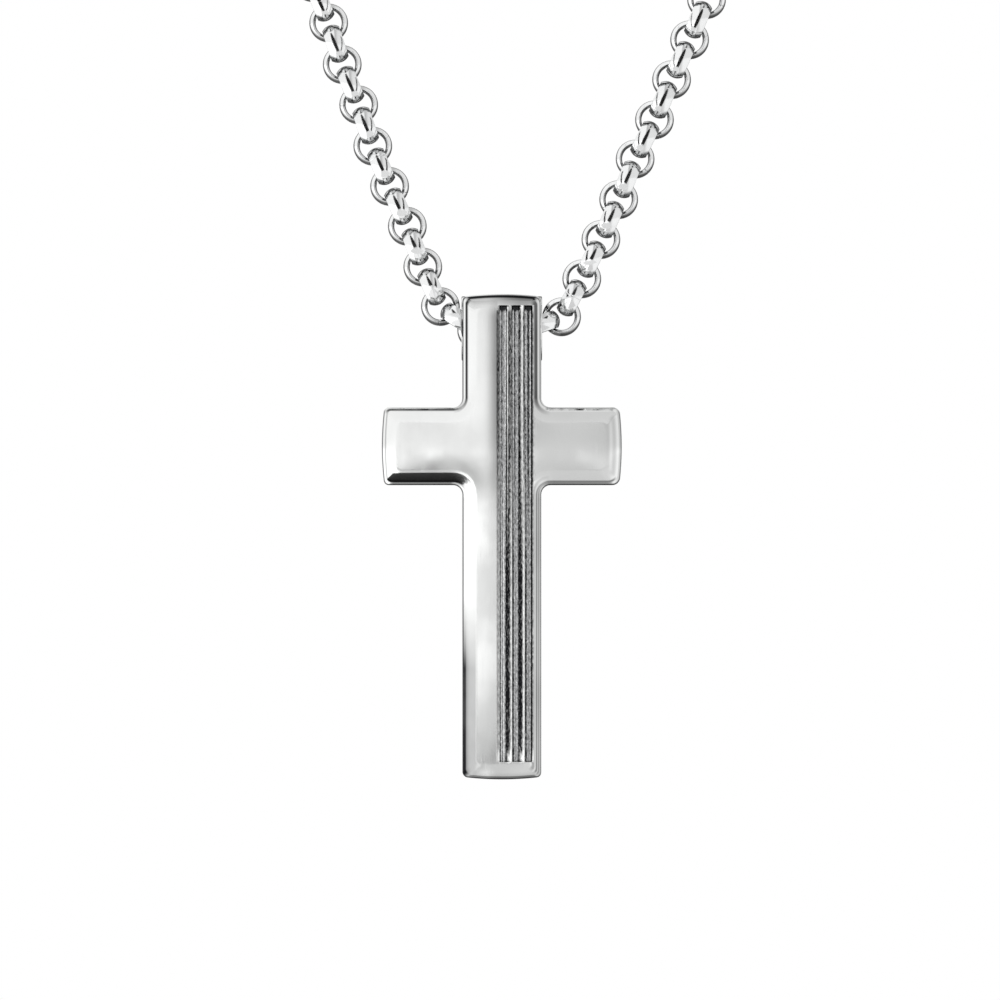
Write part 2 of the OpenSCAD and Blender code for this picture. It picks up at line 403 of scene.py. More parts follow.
face_grid = grid(FACE_GAP)
clear = ~in_field(face_grid, GRID_TO_ROW)
clear &= from_edge(face_grid) > LAST_ROW + GRID_TO_ROW
sheet_points.extend(face_grid[clear])
floor_grid = grid(FLOOR_GAP)
floor_grid = floor_grid[sunk(floor_grid) > WHOLE_DEPTH]
floor_grid = floor_grid[np.abs(FLOOR_HALF - from_middle(floor_grid)) > FLOOR_GAP / 3]
sheet_points.extend(floor_grid + chance.uniform(-JITTER, JITTER, floor_grid.shape))

# %% Join the points into triangles and give them their depth
SAME_POINT = 1e-5
FLOOR_SHARE = 0.99
FLOOR_ROUGH, CREST_ROUGH = 0.016, 0.004


def within(points):
    """True for points inside the outline: a line to the right crosses it an odd number of times."""
    x, z = points[:, :1], points[:, 1:]
    a, b = outline, np.roll(outline, -1, 0)
    spans = (a[:, 1] > z) != (b[:, 1] > z)
    with np.errstate(divide="ignore", invalid="ignore"):
        meets = a[:, 0] + (z - a[:, 1]) / (b[:, 1] - a[:, 1]) * (b[:, 0] - a[:, 0])
    return (spans & (x < meets)).sum(1) % 2 == 1


joined = delaunay_2d_cdt([Vector(p) for p in sheet_points], sheet_edges, [], 0, SAME_POINT, False)
flat_points = np.array([tuple(p) for p in joined[0]])
numbers = np.array([tuple(f) for f in joined[2]])
triangles = numbers[within(flat_points[numbers].mean(1))].tolist()
share = sunk(flat_points)
plain = edge_depth(from_edge(flat_points)) - swell(flat_points)
rough = chance.uniform(-1, 1, len(flat_points))
on_land = (share > 0) & (flat_points[:, 0] > GROOVE_X[0])
rough *= np.where(share > FLOOR_SHARE, FLOOR_ROUGH, np.where(on_land, CREST_ROUGH, 0))
depths = plain * (1 - share) + GROOVE_DEPTH * share + rough
front = piece_from("front_sheet", np.insert(flat_points, 1, depths, 1), triangles, CROSS_AT)
print("front sheet:", len(flat_points), "points,", len(triangles), "triangles")

# %% [markdown]
# ## Sides and back
#
# Behind the bevel the cross has straight sides and a flat back with a broken edge. These are plain
# rings of quads from the same outline, each moved in and set back by its own pair of numbers. They
# are closed into a solid, because the tunnel for the chain is cut through it in the next step. The
# lid at the front is only there for that cut and comes off again afterwards.

# %% Rings of points as a closed solid
def ring_faces(rings, around, closed=False):
    """Quads between each ring of points and the next, and if closed from the last to the first."""
    faces = []
    for k in range(rings if closed else rings - 1):
        here, there = k * around, (k + 1) % rings * around
        for i in range(around):
            j = (i + 1) % around
            faces.append((here + i, here + j, there + j, there + i))
    return faces


def capped(name, points, around, at):
    """A solid from rings of points, closed by a lid on its first ring and one on its last."""
    last = len(points) - around
    faces = ring_faces(len(points) // around, around)
    faces.append(tuple(range(around - 1, -1, -1)))
    faces.append(tuple(range(last, last + around)))
    return piece_from(name, points, faces, at)


# %% The body behind the front sheet
BACK_BEVEL = 0.3
lid_depth = EDGE_DROP + WORN
BODY_RINGS = [
    (0, lid_depth),
    (0, THICK - BACK_BEVEL - 0.04),
    (0.012, THICK - BACK_BEVEL),
    (BACK_BEVEL - 0.03, THICK - 0.028),
    (BACK_BEVEL + 0.02, THICK),
]
body_points = np.concatenate([np.insert(inset(depth), 1, back, 1) for depth, back in BODY_RINGS])
body = capped("body_solid", body_points, len(outline), CROSS_AT)

# %% [markdown]
# ## The tunnel eye
#
# The chain runs through a tunnel behind the top of the cross. Its outside swells out of the back
# as a short sleeve, with a small fillet where the casting turns the corner, and its mouths are
# rounded so that they don't saw at the links. Sleeve, fillet and bore are shapes turned about or
# pushed along the tunnel's axis, so each is a few rings of points. Booleans then weld the sleeve
# on and cut the bore, which is what they are good at: a few clean solids.

# %% Turned shapes about the tunnel's axis
SLEEVE_R = 2.9
SLEEVE_HALF = 3.63
SLEEVE_DOWN = 0.16
SLEEVE_ROUNDING = 0.1
BORE_R = 2.35
MOUTH = 0.14
PAST_MOUTH = 0.5
TUNNEL_STEPS = 120
ROUND_STEPS, MOUTH_STEPS = 5, 6

tunnel_z = cross_high.z - (SLEEVE_R + SLEEVE_DOWN) * MM
TUNNEL_AT = Vector((CROSS_AT.x, cross_high.y - SLEEVE_R * MM, tunnel_z))


def turned(name, profile, around, at):
    """A solid turned about the X axis from (x, radius) pairs, closed by a disc at each end."""
    turn = np.linspace(0, 2 * math.pi, around, endpoint=False)
    points = [(px, r * math.cos(t), r * math.sin(t)) for px, r in profile for t in turn]
    return capped(name, points, around, at)


def quarter(x, radius, bend, steps):
    """The (x, radius) pairs of a quarter circle, round outside, or hollow if bend is below 0."""
    turn = np.linspace(0, math.pi / 2, steps)
    return [(x + abs(bend) * math.sin(t), radius + bend * math.cos(t)) for t in turn]


def mirrored(half):
    """A profile and its mirror image, from -x to +x."""
    return [(-px, r) for px, r in reversed(half)] + half


end = quarter(SLEEVE_HALF - SLEEVE_ROUNDING, SLEEVE_R - SLEEVE_ROUNDING, SLEEVE_ROUNDING, ROUND_STEPS)
sleeve = turned("sleeve", mirrored(end), TUNNEL_STEPS, TUNNEL_AT)
flare = quarter(SLEEVE_HALF - MOUTH, BORE_R + MOUTH, -MOUTH, MOUTH_STEPS)
flare.append((SLEEVE_HALF + PAST_MOUTH, BORE_R + MOUTH))
bore = turned("bore", mirrored(flare), TUNNEL_STEPS, TUNNEL_AT)

# %% The casting's fillet under the sleeve
FILLET_R = 0.45
FILLET_STEPS = 9
OVERLAP = 0.02
HIDDEN_Y, HIDDEN_RISE = 0.05, 0.35
FILLET_HALF = HALF_UPRIGHT - BACK_BEVEL - OVERLAP

to_back = THICK - (TUNNEL_AT.y - CROSS_AT.y) / MM
centre_y = to_back + FILLET_R
centre_z = -math.sqrt((SLEEVE_R + FILLET_R) ** 2 - centre_y**2)
touch = math.atan2(-centre_z, -centre_y)
section = [(HIDDEN_Y, centre_z), (to_back - OVERLAP, centre_z)]
section += [
    (centre_y + FILLET_R * math.cos(t), centre_z + FILLET_R * math.sin(t))
    for t in np.linspace(math.pi, touch, FILLET_STEPS)
]
section.append((HIDDEN_Y, HIDDEN_RISE - SLEEVE_R))
fillet_points = [(side * FILLET_HALF, py, pz) for side in (-1, 1) for py, pz in section]
fillet = capped("fillet", fillet_points, len(section), TUNNEL_AT)

# %% Weld the sleeve on and cut the bore
def face_outwards(thing):
    """Turns every face of a closed mesh to the outside."""
    work = bmesh.new()
    work.from_mesh(thing.data)
    bmesh.ops.recalc_face_normals(work, faces=work.faces)
    work.to_mesh(thing.data)
    work.free()


def combine(thing, tool, operation):
    """Applies one boolean and removes its tool."""
    modifier = thing.modifiers.new("cut", "BOOLEAN")
    modifier.operation = operation
    modifier.solver = "EXACT"
    modifier.object = tool
    bpy.context.view_layer.update()
    graph = bpy.context.evaluated_depsgraph_get()
    result = bpy.data.meshes.new_from_object(thing.evaluated_get(graph))
    thing.modifiers.remove(modifier)
    thing.data = result
    bpy.data.objects.remove(tool)


for thing in (body, sleeve, bore, fillet):
    face_outwards(thing)
combine(body, sleeve, "UNION")
combine(body, fillet, "UNION")
combine(body, bore, "DIFFERENCE")
print("body with its tunnel:", len(body.data.polygons), "faces")

# %% [markdown]
# ## One piece of polished steel
#
# The lid comes off, and the front sheet is sewn to the body along the outline. The few edges left
# open lie inside the sleeve, where it reaches past the lid. Where two faces meet at a real crease
# the edge is marked sharp, and all else is shaded smooth. The crease between roll and bevel is too
# slight for a rule by angle, so its edges are found by their distance from the outline.

# %% Sew the front to the body
SAME_PLACE = 1e-7
SEW_WITHIN = 2e-6
FACING = 0.99

cross_mesh = bmesh.new()
cross_mesh.from_mesh(body.data)
lid_y = CROSS_AT.y + lid_depth * MM
lid = [
    face for face in cross_mesh.faces
    if abs(face.normal.y) > FACING and all(abs(v.co.y - lid_y) < SAME_PLACE for v in face.verts)
]
bmesh.ops.delete(cross_mesh, geom=lid, context="FACES")
cross_mesh.from_mesh(front.data)
for vert in cross_mesh.verts:
    if vert.is_boundary:
        vert.co.y = lid_y
bmesh.ops.remove_doubles(cross_mesh, verts=cross_mesh.verts, dist=SEW_WITHIN)
print("open edges inside the sleeve:", sum(edge.is_boundary for edge in cross_mesh.edges))
for thing in (body, front):
    bpy.data.objects.remove(thing)

# %% Creases and finish of each face
POLISHED, CUT, BRUSHED = 0, 1, 2
CREASE_ANGLE = math.radians(24)
CREASE_WITHIN = 0.002
CUT_SHARE = 0.92
BACK_WITHIN = 0.01

places = (np.array([tuple(v.co) for v in cross_mesh.verts]) - np.array(CROSS_AT)) / MM
from_front, flat = places[:, 1], places[:, [0, 2]]
inward, share = from_edge(flat), sunk(flat)
on_front = from_front < EDGE_DROP - TINY
on_crease = on_front & (np.abs(inward - BEVEL_W) < CREASE_WITHIN)
on_floor = on_front & (share > FLOOR_SHARE)
in_cut = on_front & (share > CUT_SHARE)
cross_mesh.verts.index_update()
cross_mesh.normal_update()
creased = 0
for edge in cross_mesh.edges:
    ends = [v.index for v in edge.verts]
    bent = len(edge.link_faces) == 2 and edge.calc_face_angle() > CREASE_ANGLE
    sharp = (bent or on_crease[ends].all()) and not on_floor[ends].all()
    edge.smooth = not sharp
    creased += sharp
for face in cross_mesh.faces:
    face.smooth = True
    numbers = [v.index for v in face.verts]
    at_back = face.normal.y > FACING and from_front[numbers].min() > THICK - BACK_WITHIN
    face.material_index = CUT if in_cut[numbers].all() else BRUSHED if at_back else POLISHED
print(creased, "creased edges")

# %% [markdown]
# ## Painted dark lines along the edges
#
# Along each edge runs a dark hair line, a painted reflection of something dark in the bevel and
# the roll, and it is what makes the edges of the real cross look drawn with a pen. It is not alike
# on all sides: double on the left of the top and under both arms, nearly gone above the right arm,
# and spread into a grey haze of painted shade on the left of the foot. Each side has its own row
# of (way in from the edge, share of dark) pairs, and they pass into each other round the corners.
# The grooves get painted shade at their upper ends, and the lands between them painted light.

# %% Rows of the painted dark lines along the edges
UPPER_LEFT = [(0, 0.9), (0.08, 0.9), (0.13, 0), (0.25, 0), (0.31, 0.95), (0.43, 1), (0.52, 0)]
UPPER_RIGHT = [(0, 0.1), (0.06, 0.1), (0.09, 0.75), (0.13, 0.75), (0.17, 0.1), (0.3, 0.1),
               (0.38, 0.85), (0.6, 0.85), (0.8, 0)]
LOWER_LEFT = [(0, 0.75), (0.1, 0.75), (0.16, 0)]
FOOT_LEFT = [(0, 0.97), (0.28, 0.96), (0.38, 0.68), (0.6, 0.53), (1.2, 0.5), (1.34, 0)]
LOWER_RIGHT = [(0, 0.75), (0.07, 0.7), (0.13, 0.35), (0.17, 0.45), (0.23, 0.7), (0.28, 0.55),
               (0.33, 0.3), (0.38, 0.65), (0.45, 0.7), (0.55, 0.15), (0.67, 0.55), (0.79, 0.55),
               (0.85, 0)]
TOP_END_LEFT = [(0, 0.05), (0.06, 0.1), (0.1, 1), (0.28, 1), (0.36, 0.42), (1.0, 0)]
TOP_END_RIGHT = [(0, 0.05), (0.06, 0.1), (0.1, 1), (0.28, 1), (0.36, 0.6), (0.9, 0.42), (1.4, 0)]
FOOT_END_LEFT = [(0, 0.75), (0.08, 0.6), (0.16, 0.5), (1.0, 0.5), (1.3, 0.15), (1.6, 0)]
FOOT_END = [(0, 0.75), (0.08, 0.6), (0.16, 0.3), (0.6, 0)]
ARM_LEFT_TOP = [(0, 0.2), (0.1, 0.1), (0.18, 0.9), (0.27, 0.9), (0.33, 0)]
ARM_LEFT_BELOW = [(0, 0.8), (0.06, 0.6), (0.12, 0), (0.22, 0), (0.28, 0.9), (0.36, 0.7), (0.5, 0)]
ARM_LEFT_TIP = [(0, 0.8), (0.08, 0.8), (0.13, 0), (0.26, 0), (0.3, 0.55), (0.34, 0.55), (0.4, 0)]
ARM_RIGHT_TOP = [(0, 0.35), (0.08, 0.25), (0.14, 0)]
ARM_RIGHT_BELOW = [(0, 0.8), (0.08, 0.7), (0.13, 0), (0.25, 0), (0.31, 0.75), (0.37, 0.7), (0.45, 0)]
ARM_RIGHT_TIP = [(0, 0.8), (0.08, 0.7), (0.13, 0.3), (0.22, 0.3), (0.28, 0), (0.4, 0), (0.6, 0.3),
                 (0.75, 0.3), (1.0, 0)]


# %% Share of dark at each point
HAZE_FADE = (-13.5, -20)
TOP_END_FADE = (-1.2, 1.6)
FOOT_END_FADE = (-2.5, -1.3)
CORNER_FADE = (-0.25, 0.25)


def painted_edge_reflections_and_shade(points, inward):
    """Share of painted dark reflection and shade at each point of the front, from the rows above."""
    x, z = points.T
    wide, tall = np.abs(x), np.abs(z)
    right, top = x > 0, z > 0

    def read(when_left, when_right, share=right):
        first, second = (np.interp(inward, *zip(*row)) for row in (when_left, when_right))
        return first * (1 - share) + second * share

    left_below = read(LOWER_LEFT, FOOT_LEFT, ease(z, *HAZE_FADE))
    below = np.where(right, read(LOWER_LEFT, LOWER_RIGHT), left_below)
    upright = np.where(top, read(UPPER_LEFT, UPPER_RIGHT), below)
    top_end = read(TOP_END_LEFT, TOP_END_RIGHT, ease(x, *TOP_END_FADE))
    foot_end = read(FOOT_END_LEFT, FOOT_END, ease(x, *FOOT_END_FADE))
    end = np.where(top, top_end, foot_end)
    arm_below = read(ARM_LEFT_BELOW, ARM_RIGHT_BELOW)
    arm = np.where(top, read(ARM_LEFT_TOP, ARM_RIGHT_TOP), arm_below)
    tip = read(ARM_LEFT_TIP, ARM_RIGHT_TIP)
    to_end = np.where(top, TOP - z, z - FOOT)
    at_end = ease(HALF_UPRIGHT - wide - to_end, *CORNER_FADE)
    at_tip = ease(HALF_ARM - tall - (REACH - wide), *CORNER_FADE)
    round_fillet = np.arctan2(TURN_Z - tall, TURN_X - wide) / (math.pi / 2)
    on_arm = np.where(tall > TURN_Z, 0, np.where(wide > TURN_X, 1, round_fillet))
    upright = upright * (1 - at_end) + end * at_end
    arm = arm * (1 - at_tip) + tip * at_tip
    return upright * (1 - on_arm) + arm * on_arm


# %% The cross as an object
FIELD_RIM = 0.01
LINE_HALF = 0.37
TOP_DARK, TOP_LIGHT, FOOT_LIGHT = 0.9, 0.5, 0.8
TOP_FADE, FOOT_FADE = (0.6, 0.3), (1.3, 0.3)


def store(mesh, name, values):
    """Keeps one value for each point of a mesh, which its material can read by name."""
    layer = mesh.attributes.new(name, "FLOAT", "POINT")
    layer.data.foreach_set("value", values.astype(np.float32))


cross_data = bpy.data.meshes.new("cross_steel")
cross_mesh.to_mesh(cross_data)
cross_mesh.free()
cross_piece = placed("cross_steel", cross_data)
from_top, from_foot = GROOVE_TOP - flat[:, 1], flat[:, 1] - GROOVE_FOOT
in_grooves = in_field(flat, FIELD_RIM) & (np.minimum(from_top, from_foot) > END_STEPS[1][0] / 2)
in_line = from_middle(flat) < LINE_HALF
# Painted dark reflections and painted shade along the edges, outside the grooves.
soot = np.where(in_grooves, 0, painted_edge_reflections_and_shade(flat, inward))
# Painted shade at the upper ends of the grooves, and painted light on the lands at both ends.
soot += in_grooves * np.where(in_line, TOP_DARK, -TOP_LIGHT) * ease(from_top, *TOP_FADE)
soot -= in_grooves * np.where(in_line, 0, FOOT_LIGHT) * ease(from_foot, *FOOT_FADE)
for name, values in (("soot", soot), ("grooved", in_grooves), ("front", 1)):
    store(cross_data, name, values * on_front)
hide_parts("cross")
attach(cross_piece, "pendant")
print("cross:", len(cross_data.polygons), "faces")

# %% [markdown]
# ## Where the links hang
#
# The chain solid already holds every link at its place. Working the places out again would risk
# two chains that disagree, so they are read from the solid: its mesh falls apart into islands, one
# for each link, and an island's points give its middle and the way that it faces, the direction in
# which they spread the least.

# %% Read the middle and the axis of each link
chain_mesh = bmesh.new()
chain_mesh.from_mesh(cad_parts["chain"].data)
bmesh.ops.remove_doubles(chain_mesh, verts=chain_mesh.verts, dist=SAME_PLACE)
chain_mesh.verts.index_update()
seen = np.zeros(len(chain_mesh.verts), bool)
links = []
for start in chain_mesh.verts:
    if seen[start.index]:
        continue
    seen[start.index] = True
    island, waiting = [], [start]
    while waiting:
        vert = waiting.pop()
        island.append(vert.co[:])
        for edge in vert.link_edges:
            other = edge.other_vert(vert)
            if not seen[other.index]:
                seen[other.index] = True
                waiting.append(other)
    island = np.array(island)
    middle = island.mean(0)
    _, ways = np.linalg.eigh(np.cov((island - middle).T))
    links.append((middle, ways[:, 0]))
chain_mesh.free()
print(len(links), "links")

# %% Put the links in order, from one end to the other
middles = np.array([m for m, _ in links])
left_end = int(np.argmin(np.where(middles[:, 0] < 0, np.abs(middles[:, 2]), math.inf)))
order, left = [left_end], set(range(len(links))) - {left_end}
while left:
    last = middles[order[-1]]
    nearest = min(left, key=lambda k: float(((middles[k] - last) ** 2).sum()))
    order.append(nearest)
    left.remove(nearest)
steps = np.linalg.norm(np.diff(middles[order], axis=0), axis=1)
print("steps between links", round(steps.min() / MM, 3), "to", round(steps.max() / MM, 3), "mm")

# %% [markdown]
# ## One link
#
# Each link is a ring of flattened wire, domed outside and nearly flat inside, bent round and
# closed with a butt joint that stays visible as a hair line. A torus primitive has the wrong
# section and no joint. The section is drawn from two arcs and carried round the ring, a little
# pinched at the joint, where filing has left a shallow waist.

# %% The section of a link's wire
LINK_R = 1.75
LINK_WALL = 0.576
HALF_WIDTH = 0.8
CROWN_R = 1.1
BORE_CROWN_R = 1.5
RIM_CUT = 0.021
CROWN_STEPS = 9
BORE_STEPS = 5

across = HALF_WIDTH - RIM_CUT
crown_w = np.linspace(-across, across, CROWN_STEPS)
crown = np.stack([LINK_R - CROWN_R + np.sqrt(CROWN_R**2 - crown_w**2), crown_w], 1)
bore_w = np.linspace(across, -across, BORE_STEPS)
bore_line = LINK_R - LINK_WALL + BORE_CROWN_R - np.sqrt(BORE_CROWN_R**2 - bore_w**2)
rim = np.array([[(crown[-1, 0] + bore_line[0]) / 2, HALF_WIDTH]])
link_section = np.concatenate([crown, rim, np.stack([bore_line, bore_w], 1), rim * (1, -1)])
section_middle = np.array([LINK_R - LINK_WALL / 2, 0])
print("section of", len(link_section), "points")

# %% The ring of one link
RING_STEPS = 54
JOINT_GAP = 0.022
JOINT_PINCH = [(-2.6, 0), (-1, 0.012), (-0.45, 0.03), (0, 0.13), (0.45, 0.03), (1, 0.012), (2.6, 0)]
HIDDEN_FROM = 0.3

stations = [(k * JOINT_GAP, pinch) for k, pinch in JOINT_PINCH]
rest_turn = np.linspace(stations[-1][0], 2 * math.pi + stations[0][0], RING_STEPS)[1:-1]
stations += [(t, 0) for t in rest_turn]


def carried_round(section, turn):
    """A section of (radius, height) rows, turned about the Z axis."""
    radius, height = section.T
    return np.stack([radius * math.cos(turn), radius * math.sin(turn), height], 1)


ring = np.concatenate([
    carried_round(section_middle + (link_section - section_middle) * (1 - pinch), turn)
    for turn, pinch in stations
])
ring_quads = np.array([
    (a, d, c, b) for a, b, c, d in ring_faces(len(stations), len(link_section), closed=True)
])
hidden_side = ease(LINK_R - np.hypot(ring[:, 0], ring[:, 1]), HIDDEN_FROM, LINK_WALL)
print("one link:", len(ring), "points,", len(ring_quads), "quads")

# %% [markdown]
# ## The chain, link by link
#
# The ring is set at every place read above. In a real chain no two joints point the same way, so
# each link is turned about its own axis by a seeded random angle: the same one each time the
# script runs. The links are joined into three lengths, which keeps each mesh light.

# %% Build the three lengths
LENGTHS = ("chain_left", "chain_front", "chain_right")
ASLANT = (0.3, 0.2, 1.0)

joint_turns = np.random.default_rng(23).uniform(0, 2 * math.pi, len(links))


def set_link(middle, axis, turn):
    """Points of one link at its place, in metres, turned by turn about its own axis."""
    side = np.cross(axis, ASLANT)
    side /= np.linalg.norm(side)
    first = side * math.cos(turn) + np.cross(axis, side) * math.sin(turn)
    return middle + MM * (ring @ np.stack([first, np.cross(axis, first), axis]))


def chain_length(name, start, end):
    """One mesh of the links from start to end, as counted along the chain."""
    points = [set_link(*links[order[n]], joint_turns[n]) for n in range(start, end)]
    faces = np.concatenate([ring_quads + k * len(ring) for k in range(end - start)])
    mesh = bpy.data.meshes.new(name)
    mesh.from_pydata(np.concatenate(points).tolist(), [], faces.tolist())
    mesh.polygons.foreach_set("use_smooth", np.ones(len(faces), bool))
    store(mesh, "hidden_side", np.tile(hidden_side, end - start))
    print(name, end - start, "links,", 2 * len(faces), "triangles")
    return placed(name, mesh)


cuts = [round(k * len(order) / len(LENGTHS)) for k in range(len(LENGTHS) + 1)]
chain_pieces = [chain_length(name, cuts[k], cuts[k + 1]) for k, name in enumerate(LENGTHS)]
for made in chain_pieces:
    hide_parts("chain")
    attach(made, "necklace")

# %% [markdown]
# ## The clasp at the nape
#
# The fastening hides behind the neck: a plain barrel with round ends and a small eye at each end
# for the last link. On the lathe such a barrel gets a fine closing line round its middle and two
# thin collar lines near each end. Those lines are what makes it read as a made thing, and they
# cost a few extra rings in the turned profile.

# %% The barrel, turned, with its fine lines
BARREL_R = 1.6
BARREL_STEPS = 64
BARREL_END_STEPS = 14
COLLARS_IN = (0.9, 0.4)
CLOSING_LINE, COLLAR_LINE = (0.09, 0.07), (0.06, 0.04)
LINE_SHAPE = [(0.4, 1), (1, 0.1), (1.45, 0)]
DIMPLE_R, DIMPLE_IN = 0.12, 0.002
EYE_WIRE_R = 0.4
EYE_MEAN_R = LINK_R - LINK_WALL + EYE_WIRE_R

clasp_low, clasp_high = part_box("clasp")
clasp_at = (clasp_low + clasp_high) / 2
eye_x = (clasp_high.x - clasp_low.x) / 2 / MM - EYE_MEAN_R - EYE_WIRE_R
barrel_half = eye_x - EYE_MEAN_R - BARREL_R


def scored(middle, width, depth):
    """The (x, radius) pairs of a fine line round the barrel: LINE_SHAPE times width and depth."""
    half = [(width * out, depth * down) for out, down in LINE_SHAPE]
    return [(middle + px, BARREL_R - down) for px, down in mirrored(half)]


right_side = scored(0, *CLOSING_LINE)[len(LINE_SHAPE):]
for inwards in COLLARS_IN:
    right_side += scored(barrel_half - inwards, *COLLAR_LINE)
right_side += quarter(barrel_half, 0, BARREL_R, BARREL_END_STEPS)[:-1]
right_side.append((barrel_half + BARREL_R - DIMPLE_IN, DIMPLE_R))
clasp_piece = turned("clasp_barrel", mirrored(right_side), BARREL_STEPS, clasp_at)
print("barrel with eyes at", round(eye_x, 3), "mm from its middle")

# %% The two eyes, and the clasp as one piece
EYE_STEPS = 48
WIRE_STEPS = 16
CLASP_ANGLE = math.radians(35)

wire = np.array([
    (EYE_MEAN_R + EYE_WIRE_R * math.cos(t), EYE_WIRE_R * math.sin(t))
    for t in np.linspace(0, 2 * math.pi, WIRE_STEPS, endpoint=False)
])
eye_turns = np.linspace(0, 2 * math.pi, EYE_STEPS, endpoint=False)
eye_points = np.concatenate([carried_round(wire, turn) for turn in eye_turns])[:, [0, 2, 1]]
eye_quads = ring_faces(EYE_STEPS, WIRE_STEPS, closed=True)

clasp_mesh = bmesh.new()
clasp_mesh.from_mesh(clasp_piece.data)
for side in (-1, 1):
    eye = piece_from(f"eye_{side}", eye_points + (side * eye_x, 0, 0), eye_quads, clasp_at)
    clasp_mesh.from_mesh(eye.data)
    bpy.data.objects.remove(eye)
bmesh.ops.recalc_face_normals(clasp_mesh, faces=clasp_mesh.faces)
for face in clasp_mesh.faces:
    face.smooth = True
clasp_mesh.to_mesh(clasp_piece.data)
clasp_mesh.free()
clasp_piece.data.set_sharp_from_angle(angle=CLASP_ANGLE)
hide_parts("clasp")
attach(clasp_piece, "necklace")
print("clasp:", len(clasp_piece.data.polygons), "faces")

# %% [markdown]
# ## A small language for shader nodes
#
# Shader nodes can be wired one by one, but a sum such as 1 - mask then takes five lines. The class
# Signal wraps the output of a node and lets Python's own signs add the Math nodes. The class
# Finish holds one material and has one method that makes any other node: its type, its settings
# and what goes into its sockets. Its other methods are short names for what is needed often.

# %% Signal: the output of a node
class Signal:
    """One output of a shader node, which can be used in sums."""

    def __init__(self, finish, socket):
        self.finish = finish
        self.socket = socket

    def sum(self, operation, first, second):
        return self.finish.node("ShaderNodeMath", {"operation": operation}, {0: first, 1: second})

    def __add__(self, other):
        return self.sum("ADD", self, other)

    def __sub__(self, other):
        return self.sum("SUBTRACT", self, other)

    def __rsub__(self, other):
        return self.sum("SUBTRACT", other, self)

    def __mul__(self, other):
        return self.sum("MULTIPLY", self, other)

    __radd__ = __add__
    __rmul__ = __mul__


# %% Finish: the nodes of one material
GENERATED, OBJECT = 0, 3


class Finish:
    """A node tree under construction, of a material or of the world."""

    def __init__(self, owner):
        owner.use_nodes = True
        self.owner = owner
        self.tree = owner.node_tree
        self.tree.nodes.clear()

    def node(self, kind, settings=None, sockets=None, output=0):
        """Adds a node: settings first, then the values or links of its sockets."""
        made = self.tree.nodes.new(kind)
        for name, value in (settings or {}).items():
            if name == "stops":
                stops = made.color_ramp.elements
                stops.remove(stops[1])
                stops[0].position, stops[0].color = value[0][0], (value[0][1],) * 3 + (1,)
                for place, grey in value[1:]:
                    stops.new(place).color = (grey, grey, grey, 1)
            else:
                setattr(made, name, value)
        for key, value in (sockets or {}).items():
            if isinstance(value, Signal):
                self.tree.links.new(value.socket, made.inputs[key])
            else:
                made.inputs[key].default_value = value
        return Signal(self, made.outputs[output]) if made.outputs else None

    def clamp(self, value, start, end, low=0.0, high=1.0):
        """Carries value from the range start-end to low-high, and no further."""
        return self.node(
            "ShaderNodeMapRange",
            {"clamp": True, "interpolation_type": "SMOOTHSTEP"},
            {"Value": value, "From Min": start, "From Max": end, "To Min": low, "To Max": high},
        )

    def parts(self, vector):
        """The x, y and z of a vector."""
        split = self.node("ShaderNodeSeparateXYZ", None, {0: vector})
        return [Signal(self, part) for part in split.socket.node.outputs]

    def attribute(self, name):
        """The value that the mesh keeps under this name, from the Factor output."""
        return self.node("ShaderNodeAttribute", {"attribute_name": name}, output=2)

    def stretched(self, times):
        """Object coordinates, stretched by a factor for each axis."""
        place = self.node("ShaderNodeTexCoord", output=OBJECT)
        return self.node("ShaderNodeVectorMath", {"operation": "MULTIPLY"}, {0: place, 1: times})

    def noise(self, times, detail):
        """Smooth random values; times says how many features a metre holds along each axis."""
        return self.node(
            "ShaderNodeTexNoise", None,
            {"Vector": self.stretched(times), "Scale": 1.0, "Detail": detail},
        )

    def mixed(self, share, first, second):
        """A colour between two others, which are sockets 6 and 7 of the Mix node."""
        sockets = {0: share, 6: (*first, 1), 7: (*second, 1)}
        return self.node("ShaderNodeMix", {"data_type": "RGBA"}, sockets, output=2)

    def bumps(self, strength, depth, height):
        """Small bumps of at most this depth, in millimetres, for Normal."""
        return self.node(
            "ShaderNodeBump", None,
            {"Strength": strength, "Distance": depth * MM, "Height": height},
        )

    def steel(self, **sockets):
        """Ends the material with a metal surface."""
        named = {key.replace("_", " "): value for key, value in sockets.items()}
        return self.surface({"Metallic": 1.0, **named})

    def surface(self, sockets):
        """Ends the material with a surface of these values."""
        surface = self.node("ShaderNodeBsdfPrincipled", None, sockets)
        self.node("ShaderNodeOutputMaterial", None, {"Surface": surface})
        return self.owner
